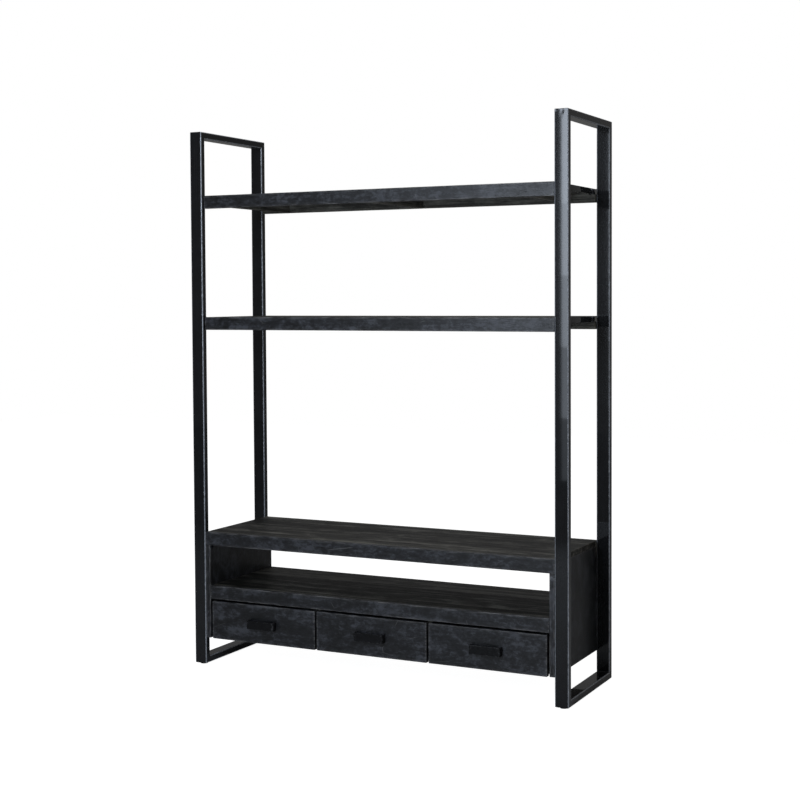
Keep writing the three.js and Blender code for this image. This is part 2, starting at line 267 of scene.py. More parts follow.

# %% [markdown]
# ## Black steel, iron, plastic and screws
# The frames are powder-coated: a thick semi-gloss paint with a faint orange peel, so they
# mirror a lamp softly. On the arrises pale steel is painted in broken lines: partly worn
# paint, partly a painted highlight for a lamp's reflection along each arris. The handles
# are hammered iron under a thin black wax, and the glides are plain moulded plastic.


# %% Metal and plastic finishes
def steel_finish():
    material, tree, shader = new_material("black_steel")
    place = add_node(tree, "ShaderNodeTexCoord").outputs["Object"]
    grain = attribute(tree, "grain", "Vector")
    arris = attribute(tree, "arris", "Fac")
    peel = noise_at(tree, place, (420, 420, 420), 2.0, 0.5)
    drag = noise_at(tree, grain, (3, 260, 260), 3.0, 0.6)
    cloud = noise_at(tree, place, (14, 14, 14), 4.0, 0.6)
    shade = calc(tree, "MULTIPLY_ADD", cloud, 0.6, calc(tree, "MULTIPLY", drag, 0.4))
    paint = ramp(tree, shade, [(0.32, (0.0042, 0.0045, 0.0052)), (0.72, (0.0105, 0.0112, 0.0128))])
    broken = ramp(tree, noise_at(tree, place, (70, 70, 70), 4.0, 0.7), [(0.30, 0.35), (0.62, 0.95)])
    # Painted highlight: the pale, partly metallic steel on the arrises is partly worn paint and partly
    # stands in for a lamp's reflection along each arris.
    thin = calc(tree, "MULTIPLY", arris, broken)
    tree.links.new(mix_colours(tree, thin, paint, (0.42, 0.44, 0.48)), shader.inputs["Base Color"])
    tree.links.new(calc(tree, "MULTIPLY", thin, 0.4), shader.inputs["Metallic"])
    tree.links.new(calc(tree, "MULTIPLY_ADD", shade, 0.22, 0.30), shader.inputs["Roughness"])
    height = calc(tree, "MULTIPLY_ADD", peel, 0.35, calc(tree, "MULTIPLY", drag, 0.4))
    tree.links.new(bump(tree, height, 0.01, 0.0003), shader.inputs["Normal"])
    shader.inputs["Specular IOR Level"].default_value = 0.05
    shader.inputs["Coat Weight"].default_value = 1.0
    shader.inputs["Coat Roughness"].default_value = 0.035
    shader.inputs["Coat IOR"].default_value = 1.45
    return material


def iron_finish():
    material, tree, shader = new_material("hammered_iron")
    place = add_node(tree, "ShaderNodeTexCoord").outputs["Object"]
    arris = attribute(tree, "arris", "Fac")
    spread = add_node(tree, "ShaderNodeMapping", {}, {"Vector": place, "Scale": (130, 130, 130)})
    dent = add_node(tree, "ShaderNodeTexVoronoi", {"feature": "SMOOTH_F1"}, {
        "Vector": spread.outputs[0], "Scale": 1.0, "Smoothness": 0.6}).outputs[0]
    grime = noise_at(tree, place, (90, 90, 90), 4.0, 0.65)
    body = ramp(tree, grime, [(0.35, (0.0018, 0.0018, 0.0022)), (0.7, (0.0065, 0.0068, 0.0078))])
    broken = ramp(tree, noise_at(tree, place, (130, 130, 130), 3.0, 0.7), [(0.5, 0.0), (0.66, 0.6)])
    # Paler iron on the rims is wear; on the bends it is a painted highlight.
    wear_and_bend_highlight = calc(tree, "MULTIPLY", arris, broken)
    tree.links.new(mix_colours(tree, wear_and_bend_highlight, body, (0.11, 0.11, 0.115)), shader.inputs["Base Color"])
    tree.links.new(calc(tree, "MULTIPLY_ADD", grime, 0.35, 0.25), shader.inputs["Roughness"])
    tree.links.new(bump(tree, dent, 0.6, 0.0009), shader.inputs["Normal"])
    shader.inputs["Metallic"].default_value = 0.2
    shader.inputs["Specular IOR Level"].default_value = 0.3
    return material


def plain_finish(name, low, high, roughness, metallic):
    """A small piece's finish: two close shades under fine noise."""
    material, tree, shader = new_material(name)
    place = add_node(tree, "ShaderNodeTexCoord").outputs["Object"]
    speck = noise_at(tree, place, (350, 350, 350), 4.0, 0.6)
    tree.links.new(ramp(tree, speck, [(0.35, low), (0.68, high)]), shader.inputs["Base Color"])
    tree.links.new(calc(tree, "MULTIPLY_ADD", speck, 0.2, roughness), shader.inputs["Roughness"])
    tree.links.new(bump(tree, speck, 0.25, 0.0002), shader.inputs["Normal"])
    shader.inputs["Metallic"].default_value = metallic
    return material


black_steel = steel_finish()
hammered_iron = iron_finish()
glide_plastic = plain_finish("glide_plastic", (0.006, 0.006, 0.0065), (0.016, 0.016, 0.017), 0.5, 0.0)
screw_steel = plain_finish("screw_steel", (0.02, 0.02, 0.022), (0.06, 0.06, 0.062), 0.3, 0.9)
weld_steel = plain_finish("weld_steel", (0.006, 0.0064, 0.0075), (0.022, 0.023, 0.026), 0.28, 0.0)
print("metal and plastic finishes ready")

# %% [markdown]
# ## Meshes and their attributes
# One helper turns points and faces into an object with smooth shading, and another writes
# the two attributes that the finishes read. Another cuts grooves and notches; a board writes
# its attributes after the cut, because both follow from a point's place alone. The last
# ties a finished piece to the CAD node that it stands for: it hides the node and puts the
# piece in the node's body.


# %% Mesh helpers
def write_attribute(mesh, name, kind, values):
    layer = mesh.attributes.get(name) or mesh.attributes.new(name, kind, "POINT")
    key = "vector" if kind == "FLOAT_VECTOR" else "value"
    layer.data.foreach_set(key, np.asarray(values, np.float32).ravel())


def make_object(name, points, faces, material):
    mesh = bpy.data.meshes.new(name)
    plain_points = [tuple(map(float, point)) for point in points]
    plain_faces = [tuple(map(int, face)) for face in faces]
    mesh.from_pydata(plain_points, [], plain_faces)
    mesh.materials.append(material)
    mesh.shade_smooth()
    made = bpy.data.objects.new(name, mesh)
    bpy.context.scene.collection.objects.link(made)
    return made


def points_of(mesh):
    flat = np.empty(3 * len(mesh.vertices), np.float32)
    mesh.vertices.foreach_get("co", flat)
    return flat.reshape(-1, 3).astype(float)


def baked(piece):
    """The piece with its modifiers made real."""
    graph = bpy.context.evaluated_depsgraph_get()
    mesh = bpy.data.meshes.new_from_object(
        piece.evaluated_get(graph), preserve_all_data_layers=True, depsgraph=graph)
    piece.modifiers.clear()
    piece.data = mesh
    return piece


def cut_away(piece, tools):
    """Cuts each tool object out of the piece and removes the tools."""
    for tool in tools:
        modifier = piece.modifiers.new("cut", "BOOLEAN")
        modifier.operation = "DIFFERENCE"
        modifier.solver = "EXACT"
        modifier.object = tool
        baked(piece)
        bpy.data.objects.remove(tool)
    return piece


def stand_for(piece, cad_node):
    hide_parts(cad_node)
    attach(piece, BODY_OF[cad_node])
    return piece


print("mesh helpers ready")

# %% [markdown]
# ## Boards with rounded arrises
# A sawn board is a box, but its arrises are eased by hand with sandpaper. The mesh is a
# lattice on the surface of the box, with lines close together near the arrises. Points
# within a radius of an arris are pulled onto a rounded corner, and every point is sunk by
# a fraction of a millimetre of slow noise, so that long edges aren't dead straight.

# %% Board builder
EASE = 0.0022
CRISP = 0.0003
FADE = 0.007
WAVER = 0.0003
STEP = 0.045
CORNER_LINES = (45, 30, 15, 0)


def line_stops(length, radius):
    """Places of the lattice lines along one side, from one end to the other."""
    near = [radius * (1 - math.tan(math.radians(angle))) for angle in CORNER_LINES]
    near += [radius + CRISP, radius + FADE * 0.35, radius + FADE]
    near = [place for place in near if place < length / 2 - 1e-5]
    span = length - 2 * near[-1]
    count = max(1, round(span / STEP))
    middle = [near[-1] + span * i / count for i in range(1, count)]
    return np.array(near + middle + [length - place for place in reversed(near)])


def lattice_shell(counts):
    """Keys of the lattice points on a box's surface, and its outward faces."""
    index = {}
    faces = []
    for axis in range(3):
        b, c = (axis + 1) % 3, (axis + 2) % 3
        for side in (0, counts[axis] - 1):
            for i in range(counts[b] - 1):
                for j in range(counts[c] - 1):
                    ring = []
                    for di, dj in ((0, 0), (1, 0), (1, 1), (0, 1)):
                        key = [0, 0, 0]
                        key[axis], key[b], key[c] = side, i + di, j + dj
                        ring.append(index.setdefault(tuple(key), len(index)))
                    faces.append(ring if side else ring[::-1])
    return np.array(list(index)), faces


def paint_board(piece, low, high, along, radius):
    """Writes grain and arris from each point's place in the board."""
    size = high - low
    local = np.clip(points_of(piece.data) - low, 0, size)
    edge = np.sort(np.minimum(local, size - local), axis=1)[:, 1]
    arris = np.clip(1 - (edge - radius * 0.6) / FADE, 0, 1) ** 2
    order = [along] + [axis for axis in np.argsort(-size) if axis != along]
    shift = np.array([random.Random(piece.name).uniform(0, 20) + 3 * axis for axis in range(3)])
    write_attribute(piece.data, "grain", "FLOAT_VECTOR", (local - size / 2)[:, order] + shift)
    write_attribute(piece.data, "arris", "FLOAT", arris)


def build_board(name, low, high, along, material, radius=EASE, tools=()):
    """A board between two corners; along is the axis of its fibres."""
    low, high = np.array(low, float), np.array(high, float)
    size = high - low
    radius = min(radius, size.min() / 2.5)
    stops = [line_stops(size[axis], radius) for axis in range(3)]
    keys, faces = lattice_shell([len(line) for line in stops])
    local = np.stack([stops[axis][keys[:, axis]] for axis in range(3)], 1)
    inner = np.clip(local, radius, size - radius)
    out = local - inner
    normal = out / np.maximum(np.linalg.norm(out, axis=1, keepdims=True), 1e-9)
    shift = Vector([random.Random(name).uniform(0, 50)] * 3)
    waver = np.array([noise.noise(Vector(place) * 9 + shift) for place in inner])
    points = inner + normal * (radius - WAVER * (0.5 + 0.5 * waver))[:, None] + low
    piece = make_object(name, points, faces, material)
    cut_away(piece, tools)
    paint_board(piece, low, high, along, radius)
    return piece


def block_tool(low, high):
    """A plain box to cut with."""
    corners = [(x, y, z) for x in (low[0], high[0]) for y in (low[1], high[1]) for z in (low[2], high[2])]
    faces = [(0, 1, 3, 2), (4, 6, 7, 5), (0, 4, 5, 1), (2, 3, 7, 6), (0, 2, 6, 4), (1, 5, 7, 3)]
    return make_object("tool", corners, faces, screw_steel)


print("board lattice near an end:", [round(1000 * place, 2) for place in line_stops(1.0, EASE)[:6]], "mm")

# %% [markdown]
# ## The shelves and the cabinet
# Each wooden CAD node is a box or nearly one, so each becomes a board of the same size.
# Fibres run along the length of shelves and edges, front to back in the battens, and
# upright in the side panels. The stain comes in lit and shaded copies, which is painted
# light: faces seen from the front get a cooler, darker and cloudier copy for the cool lamp
# in front, and the flat tops get a warmer, lighter one for the warm lamp above. The back
# lips and battens get a pale copy, painted light for the light that reaches under the shelves.

# %% Shelves and carcass
X, Y, Z = 0, 1, 2
LIP_EASE = 0.0017
BUTTED_EASE = 0.0007


def board_for(cad_node, along, material, radius=EASE, tools=()):
    low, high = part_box(cad_node)
    return stand_for(build_board(cad_node + "_wood", low, high, along, material, radius, tools), cad_node)


for shelf in ("upper_shelf", "lower_shelf", "cabinet_top"):
    board_for(f"{shelf}_front_edge", X, front_wood, LIP_EASE)
    board_for(f"{shelf}_back_edge", X, under_wood, LIP_EASE)
    board_for(f"{shelf}_board", X, top_wood, BUTTED_EASE)
for shelf in ("upper_shelf", "lower_shelf"):
    for place in ("left", "middle", "right"):
        board_for(f"{shelf}_{place}_batten", Y, under_wood)
board_for("cabinet_middle_front_edge", X, front_wood, LIP_EASE)
board_for("cabinet_middle_board", X, top_wood, BUTTED_EASE)
board_for("cabinet_back_panel", X, top_wood)
board_for("cabinet_floor", X, top_wood)
board_for("divider_left_middle", Y, top_wood)
board_for("divider_middle_right", Y, top_wood)

# %% [markdown]
# ## Side panels
# The cabinet's side panels are notched at their two upper corners, where the lips of the
# cabinet top pass over them. A notch is cut as a joiner would cut it, out of a finished
# board. The panel's own box says how high it goes, and the lips' boxes say where to cut.

# %% Side panels
FIT = 0.0003
OVERCUT = 0.01

for side in ("left", "right"):
    cad_node = f"cabinet_{side}_panel"
    low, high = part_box(cad_node)
    notches = []
    for edge, reach in (("front_edge", (-1, 0)), ("back_edge", (0, 1))):
        edge_low, edge_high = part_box(f"cabinet_top_{edge}")
        y_ends = (edge_low[1] - FIT + OVERCUT * reach[0], edge_high[1] + FIT + OVERCUT * reach[1])
        notches.append(block_tool(
            (low[0] - OVERCUT, y_ends[0], edge_low[2] - FIT),
            (high[0] + OVERCUT, y_ends[1], high[2] + OVERCUT)))
    board_for(cad_node, Z, front_wood, EASE, notches)
print("side panels notched")

# %% [markdown]
# ## Drawers
# A drawer is a front with a plain box behind it: two sides, a back, and a thin base that
# slides into grooves. The grooves are real here too, cut with the base's own box grown by
# a hair of clearance, so that an open drawer shows how it is put together.


# %% Drawers
def groove_tool(base, reach):
    """The base's box grown by the clearance, and by reach along Y."""
    low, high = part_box(base)
    return block_tool(
        (low[0] - FIT, low[1] - FIT - reach, low[2] - FIT),
        (high[0] + FIT, high[1] + FIT + reach, high[2] + FIT))


DRAWERS = ("left", "middle", "right")
GROOVE_RUN_OUT = 0.05
BOX_EASE = 0.001
BASE_EASE = 0.0008

for place in DRAWERS:
    base = f"{place}_drawer_base"
    board_for(f"{place}_drawer_front", X, front_wood, LIP_EASE, [groove_tool(base, 0.0)])
    for side in ("left", "right"):
        board_for(f"{place}_drawer_{side}_side", Y, box_wood, BOX_EASE, [groove_tool(base, GROOVE_RUN_OUT)])
    board_for(f"{place}_drawer_back", X, box_wood, BOX_EASE, [groove_tool(base, 0.0)])
    board_for(base, X, box_wood, BASE_EASE)
print("drawers made")

# %% [markdown]
# ## Tubes of the side frames
# Each frame is four lengths of rectangular tube, mitred at 45 degrees and welded. A tube is
# a rounded outline carried along a straight line. At the ends each point stops where the
# mitre is, which is as far in as the point is from the outer face. A few more rings near
# the ends let the ground welds be a little uneven there.

# %% Tube builder
TUBE_CORNER = 0.0035
CORNER_STEPS = 8
WELD_REACH = 0.022
WELD_UNEVEN = 0.0004
END_RINGS = (0.0, 0.0006, 0.003, 0.008, 0.014, 0.022, 0.035)
RING_STEP = 0.06
FLAT_POINTS = 5
ROUND_PART = 0.35


def rounded_outline(width, height, radius, flat_points):
    """Points of a rounded rectangle, anticlockwise, with points along its flats as well."""
    points = []
    corners = ((1, -1, -90), (1, 1, 0), (-1, 1, 90), (-1, -1, 180))
    for sign_x, sign_y, start in corners:
        centre = (sign_x * (width / 2 - radius), sign_y * (height / 2 - radius))
        for step in range(CORNER_STEPS + 1):
            angle = math.radians(start + 90 * step / CORNER_STEPS)
            points.append((centre[0] + radius * math.cos(angle), centre[1] + radius * math.sin(angle)))
    full = []
    for index, point in enumerate(points):
        following = points[(index + 1) % len(points)]
        full.append(point)
        gap = math.dist(point, following)
        if gap > 4 * radius / CORNER_STEPS:
            shares = [(i + 1) / (flat_points + 1) for i in range(flat_points)]
            shares = [CRISP / gap] + shares + [1 - CRISP / gap]
            full += [tuple(point[k] + (following[k] - point[k]) * share for k in (0, 1)) for share in shares]
    return np.array(full)


def sleeve_faces(ring, count):
    """Faces that join a row of rings of points, closed by a flat face at both ends."""
    faces = []
    for start in range(0, (count - 1) * ring, ring):
        for i in range(ring):
            j = (i + 1) % ring
            faces.append((start + i, start + j, start + ring + j, start + ring + i))
    faces.append(tuple(range(ring))[::-1])
    faces.append(tuple(range((count - 1) * ring, count * ring)))
    return faces


def tube_for(cad_node, length_axis, outer_sign):
    """A mitred tube in the CAD node's box. Its long side faces outer_sign on the third axis."""
    low, high = (np.array(corner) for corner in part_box(cad_node))
    thin_axis = Y if length_axis == Z else Z
    size = high - low
    outline = rounded_outline(size[X], size[thin_axis], TUBE_CORNER, FLAT_POINTS)
    length = size[length_axis]
    near = list(END_RINGS)
    between = length - 2 * near[-1]
    count = round(between / RING_STEP)
    fractions = [near[-1] + between * i / count for i in range(1, count)]
    stations = np.array(near + fractions + [length - place for place in reversed(near)])
    depth = size[thin_axis] / 2 - outer_sign * outline[:, 1]
    rng = random.Random(cad_node)
    shift = Vector((rng.uniform(0, 30), rng.uniform(0, 30), rng.uniform(0, 30)))
    inner = np.array([size[X], size[thin_axis]]) / 2 - TUBE_CORNER
    points, grain, arris = [], [], []
    around = np.cumsum([0] + [math.dist(outline[i], outline[i - 1]) for i in range(1, len(outline))])
    for station in stations:
        for index, (u, v) in enumerate(outline):
            squeeze = 1 - 2 * depth[index] / length
            along = depth[index] + station * squeeze
            place = np.zeros(3)
            place[X], place[thin_axis], place[length_axis] = u, v, along - length / 2
            end_distance = min(station, length - station)
            closeness = max(0.0, 1 - end_distance / WELD_REACH)
            sink = WELD_UNEVEN * closeness * (0.5 + 0.5 * noise.noise(Vector(place) * 190 + shift))
            middle = np.clip([u, v], -inner, inner)
            out = np.array([u, v]) - middle
            out = out / max(np.linalg.norm(out), 1e-9)
            place[X] -= out[0] * sink
            place[thin_axis] -= out[1] * sink
            points.append(place + (low + high) / 2)
            grain.append((along, around[index], 0.0) + np.array(shift))
            arris.append(1.0 if abs(out[0] * out[1]) * 2 > ROUND_PART else 0.0)
    faces = sleeve_faces(len(outline), len(stations))
    piece = make_object(cad_node + "_tube", points, faces, black_steel)
    if length_axis == Y:
        piece.data.flip_normals()
    write_attribute(piece.data, "grain", "FLOAT_VECTOR", grain)
    write_attribute(piece.data, "arris", "FLOAT", arris)
    return stand_for(piece, cad_node)


for side in ("left", "right"):
    tube_for(f"{side}_front_post", Z, -1)
    tube_for(f"{side}_back_post", Z, 1)
    tube_for(f"{side}_top_rail", Y, 1)
    tube_for(f"{side}_bottom_rail", Y, -1)
print("tubes made")

# %% [markdown]
# ## Steel angles
# The shelves rest on steel angles welded to the posts. The CAD shape is right but its
# edges are sharp, and rolled steel has none. A copy of the CAD mesh is merged into a closed
# shell and bevelled. The copy's grain runs front to back, as the mill's rolls left it.

# %% Steel angles
ROLLED_EDGE = 0.0006


def softened_copy(cad_node, name, material, width, segments):
    """A merged and bevelled copy of a CAD node's mesh."""
    source = frame["nodes"][cad_node]
    mesh = source.data.copy()
    mesh.name = name
    mesh.materials.clear()
    mesh.materials.append(material)
    work = bmesh.new()
    work.from_mesh(mesh)
    bmesh.ops.remove_doubles(work, verts=work.verts, dist=1e-6)
    bmesh.ops.dissolve_limit(work, angle_limit=math.radians(1), verts=work.verts, edges=work.edges)
    work.to_mesh(mesh)
    work.free()
    copy = bpy.data.objects.new(name, mesh)
    bpy.context.scene.collection.objects.link(copy)
    bevel = copy.modifiers.new("bevel", "BEVEL")
    bevel.width, bevel.segments, bevel.limit_method = width, segments, "ANGLE"
    bevel.harden_normals = False
    baked(copy)
    copy.data.shade_smooth()
    return copy


for shelf in ("upper_shelf", "lower_shelf"):
    for side in ("left", "right"):
        cad_node = f"{shelf}_{side}_angle"
        angle = softened_copy(cad_node, cad_node + "_steel", black_steel, ROLLED_EDGE, 2)
        places = points_of(angle.data)
        write_attribute(angle.data, "grain", "FLOAT_VECTOR", places[:, [1, 2, 0]])
        write_attribute(angle.data, "arris", "FLOAT", np.zeros(len(places)))
        stand_for(angle, cad_node)
print("steel angles made")

# %% [markdown]
# ## Strap handles
# A handle is a flat iron strap, bent back at both ends until it meets the drawer. It is
# made as a smith would: a rounded flat bar, hammered, then carried round the bends. The
# path comes from the CAD node's box, and each ring of the bar turns with the path.

# %% Handles
STRAP_THICK = 0.004
STRAP_EDGE = 0.0013
BEND_RADIUS = 0.006
HAMMER_DEPTH = 0.00035
WORN_RIM = 0.004
BEND_HIGHLIGHT_REACH = 0.006
LEG_STEPS = 6
BEND_STEPS = 10
HALF_FLAT_STEPS = 25
SECTION_POINTS = 14


def strap_path(length, proud):
    """Points on the strap's middle line and their outward directions, in X and Y."""
    mid = STRAP_THICK / 2
    turn = BEND_RADIUS - mid
    leg = proud - BEND_RADIUS
    path = []
    for i in range(LEG_STEPS):
        path.append(((length / 2 - mid, -leg * i / LEG_STEPS), (1, 0)))
    for i in range(BEND_STEPS + 1):
        angle = math.radians(90 * i / BEND_STEPS)
        centre = (length / 2 - BEND_RADIUS, -leg)
        path.append(((centre[0] + turn * math.cos(angle), centre[1] - turn * math.sin(angle)),
                     (math.cos(angle), -math.sin(angle))))
    flat = length - 2 * BEND_RADIUS
    for i in range(1, HALF_FLAT_STEPS):
        path.append(((flat / 2 - flat * i / (2 * HALF_FLAT_STEPS), -(proud - mid)), (0, -1)))
    path.append(((0, -(proud - mid)), (0, -1)))
    return path + [((-x, y), (-nx, ny)) for (x, y), (nx, ny) in reversed(path[:-1])]


def build_handle(place):
    cad_node = f"{place}_handle"
    low, high = (np.array(corner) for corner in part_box(cad_node))
    size = high - low
    centre = Vector(((low[0] + high[0]) / 2, high[1], (low[2] + high[2]) / 2))
    section = rounded_outline(size[2], STRAP_THICK, STRAP_EDGE, SECTION_POINTS)
    path = strap_path(size[0], size[1])
    points, arris = [], []
    for (x, y), (nx, ny) in path:
        for v, w in section:
            side = abs(w) / (STRAP_THICK / 2)
            rim = max(0.0, 1 - (size[2] / 2 - abs(v)) / WORN_RIM)
            dent = noise.noise(Vector((x * 150, v * 150, y * 150 + w * 200 + 9 * centre.x)))
            sink = HAMMER_DEPTH * (0.5 + 0.5 * dent) * (1 if w > 0 else -1) * min(1.0, side)
            points.append(centre + Vector((x + nx * (w - sink), y + ny * (w - sink), v)))
            # Painted highlight: the bends are painted paler, standing in for a lamp's reflection there; on
            # the rims the paler iron is wear.
            bend_highlight = max(0.0, 1 - abs(abs(x) - (size[0] / 2 - BEND_RADIUS)) / BEND_HIGHLIGHT_REACH)
            arris.append(max(rim, bend_highlight))
    faces = sleeve_faces(len(section), len(path))
    piece = make_object(f"{place}_handle_iron", points, faces, hammered_iron)
    work = bmesh.new()
    work.from_mesh(piece.data)
    bmesh.ops.recalc_face_normals(work, faces=work.faces)
    work.to_mesh(piece.data)
    work.free()
    write_attribute(piece.data, "arris", "FLOAT", arris)
    return stand_for(piece, cad_node)


for place in DRAWERS:
    build_handle(place)
print("handles made")

# %% [markdown]
# ## Glides
# Under each frame corner sits a plastic glide: a low rounded disc on a stem that is pushed
# into the tube. It is a turned shape, so a profile is spun round its axis. The rim is
# rounded so that it slides over a carpet's edge.

# %% Glides
GLIDE_STEPS = 48
RIM = 0.0012
RIM_STEPS = 6
FLANGE_TOP = 0.0047
FLANGE_EASE = 0.0006
STEM_RADIUS = 0.004
STEM_FOOT = 0.0005
STEM_TIP = 0.001


def build_glide(cad_node):
    low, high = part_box(cad_node)
    centre = Vector(((low[0] + high[0]) / 2, (low[1] + high[1]) / 2, 0))
    radius = (high[0] - low[0]) / 2
    profile = [(0.0, low[2])]
    for step in range(RIM_STEPS + 1):
        angle = math.radians(90 * step / RIM_STEPS)
        profile.append((radius - RIM + RIM * math.sin(angle), low[2] + RIM - RIM * math.cos(angle)))
    profile += [
        (radius, FLANGE_TOP - FLANGE_EASE), (radius - FLANGE_EASE, FLANGE_TOP),
        (STEM_RADIUS + STEM_FOOT, FLANGE_TOP), (STEM_RADIUS, FLANGE_TOP + STEM_FOOT),
        (STEM_RADIUS, high[2] - STEM_TIP), (STEM_RADIUS - STEM_TIP, high[2]), (0.0, high[2]),
    ]
    points = [centre + Vector((0, 0, profile[0][1])), centre + Vector((0, 0, profile[-1][1]))]
    rings = profile[1:-1]
    for r, z in rings:
        for step in range(GLIDE_STEPS):
            angle = 2 * math.pi * step / GLIDE_STEPS
            points.append(centre + Vector((r * math.cos(angle), r * math.sin(angle), z)))
    faces = []
    last = 2 + (len(rings) - 1) * GLIDE_STEPS
    for step in range(GLIDE_STEPS):
        following = (step + 1) % GLIDE_STEPS
        faces.append((0, 2 + following, 2 + step))
        faces.append((1, last + step, last + following))
        for k in range(len(rings) - 1):
            start = 2 + k * GLIDE_STEPS
            above = start + GLIDE_STEPS
            faces.append((start + step, start + following, above + following, above + step))
    return stand_for(make_object(cad_node + "_moulded", points, faces, glide_plastic), cad_node)


for side in ("left", "right"):
    for end in ("front", "back"):
        build_glide(f"{side}_{end}_glide")
print("glides made")

# %% [markdown]
# ## A tree of geometry nodes, and how to run it
# Welds and screws repeat, so geometry nodes place them. The first helper makes an empty
# tree with named inputs. The second runs a tree on a few guide points or lines, and makes
# the result a plain mesh. Inputs are set by the identifier of their socket, because two
# sockets may share a name, and they are set before the object is first evaluated.


# %% Geometry nodes helpers
def new_tree(name, sizes):
    tree = bpy.data.node_groups.new(name, "GeometryNodeTree")
    tree.interface.new_socket(name="Guide", in_out="INPUT", socket_type="NodeSocketGeometry")
    for label, value in sizes.items():
        kind = "NodeSocketInt" if isinstance(value, int) else "NodeSocketFloat"
        tree.interface.new_socket(name=label, in_out="INPUT", socket_type=kind).default_value = value
    tree.interface.new_socket(name="Made", in_out="OUTPUT", socket_type="NodeSocketGeometry")
    return tree, tree.nodes.new("NodeGroupInput").outputs


def end_tree(tree, instances, material):
    """Every tree ends the same way: real geometry, smooth shading, one material."""
    real = add_node(tree, "GeometryNodeRealizeInstances", {}, {0: instances})
    smooth = add_node(tree, "GeometryNodeSetShadeSmooth", {}, {0: real.outputs[0]})
    painted = add_node(tree, "GeometryNodeSetMaterial", {}, {0: smooth.outputs[0], "Material": material})
    tree.links.new(painted.outputs[0], tree.nodes.new("NodeGroupOutput").inputs[0])


def run_tree(name, tree, points, edges, values, aims=None):
    mesh = bpy.data.meshes.new(name)
    mesh.from_pydata([tuple(point) for point in points], edges, [])
    if aims is not None:
        write_attribute(mesh, "aim", "FLOAT_VECTOR", aims)
    piece = bpy.data.objects.new(name, mesh)
    bpy.context.scene.collection.objects.link(piece)
    modifier = piece.modifiers.new("nodes", "NODES")
    modifier.node_group = tree
    for socket in tree.interface.items_tree:
        if socket.in_out == "INPUT" and socket.name in values:
            modifier[socket.identifier] = values[socket.name]
    return baked(piece)


print("geometry nodes helpers ready")

# %% [markdown]
# ## Weld beads
# A welder leaves a row of overlapping ripples, like a stack of coins pushed over. The
# outside seams of the frames are ground flush, but inside the corners the bead stays, and
# so do the short beads that hold the steel angles. Each bead follows a straight guide
# line: it is resampled at the ripple's pitch, and a ball of slightly random size is set on
# every point.

# %% Weld beads
BEAD_RADIUS = 0.0021
ANGLE_BEAD_RADIUS = 0.0013
RIPPLE_SHARE = 0.76
BEAD_INSET = 0.001


def weld_tree():
    sizes = {
        "Ripple pitch": BEAD_RADIUS * RIPPLE_SHARE, "Bead radius": BEAD_RADIUS,
        "Unevenness": 0.16, "Seed": 5,
    }
    tree, given = new_tree("weld_bead", sizes)
    line = add_node(tree, "GeometryNodeMeshToCurve", {}, {0: given["Guide"]})
    spaced = add_node(tree, "GeometryNodeResampleCurve", {"mode": "LENGTH"}, {
        "Curve": line.outputs[0], "Length": given["Ripple pitch"]})
    ball = add_node(tree, "GeometryNodeMeshUVSphere", {}, {
        "Segments": 8, "Rings": 5, "Radius": given["Bead radius"]})
    least = calc(tree, "SUBTRACT", 1.0, given["Unevenness"])
    most = calc(tree, "ADD", 1.0, given["Unevenness"])
    uneven = add_node(tree, "FunctionNodeRandomValue", {"data_type": "FLOAT"}, {
        2: least, 3: most, "Seed": given["Seed"]})
    set_out = add_node(tree, "GeometryNodeInstanceOnPoints", {}, {
        "Points": spaced.outputs[0], "Instance": ball.outputs[0], "Scale": uneven.outputs[1]})
    end_tree(tree, set_out.outputs[0], weld_steel)
    return tree


def corner_lines():
    """Guide lines across the inner corners of both frames."""
    lines = []
    for side in ("left", "right"):
        front_low, front_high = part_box(f"{side}_front_post")
        back_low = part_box(f"{side}_back_post")[0]
        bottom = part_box(f"{side}_bottom_rail")[1][2]
        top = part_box(f"{side}_top_rail")[0][2]
        for y in (front_high[1], back_low[1]):
            for z in (bottom, top):
                lines.append(((front_low[0] + TUBE_CORNER, y, z), (front_high[0] - TUBE_CORNER, y, z)))
    return lines


def angle_lines():
    """Short guide lines where the steel angles meet the posts, above and below."""
    lines = []
    for shelf in ("upper_shelf", "lower_shelf"):
        for side in ("left", "right"):
            low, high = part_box(f"{shelf}_{side}_angle")
            x = high[0] - BEAD_INSET if side == "right" else low[0] + BEAD_INSET
            front_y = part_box(f"{side}_front_post")[1][1]
            back_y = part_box(f"{side}_back_post")[0][1]
            for z in (low[2], high[2]):
                lines.append(((x, low[1] + 2 * BEAD_INSET, z), (x, front_y - BEAD_INSET, z)))
                lines.append(((x, back_y + BEAD_INSET, z), (x, high[1] - 2 * BEAD_INSET, z)))
    return lines


def run_beads(name, lines, radius):
    points = [point for line in lines for point in line]
    edges = [(2 * i, 2 * i + 1) for i in range(len(lines))]
    values = {"Bead radius": radius, "Ripple pitch": radius * RIPPLE_SHARE}
    beads = run_tree(name, weld_beads, points, edges, values)
    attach(beads, "root")
    print(name, "on", len(lines), "lines:", len(beads.data.polygons), "faces")


weld_beads = weld_tree()
run_beads("frame_welds", corner_lines(), BEAD_RADIUS)
run_beads("angle_welds", angle_lines(), ANGLE_BEAD_RADIUS)

# %% [markdown]
# ## Screws
# Screws come up through the steel angles and battens into the shelves, go into the back
# panel from behind, and hold the handles from inside the drawers. Every head is a low dome
# with a cross recess on a thin washer. The tree sets it on each guide point and turns it
# to face along the point's *aim*, so one tree serves all of them.

# %% Screws
HEAD_RADIUS = 0.0036
HANDLE_HEAD_RADIUS = 0.0042
RECESS_WIDTH = 0.0009
WASHER_THICK = 0.0009
BATTEN_SINK = 0.0004
BACK_ROW_INSET = 0.012
HANDLE_SCREW_INSET = 0.002


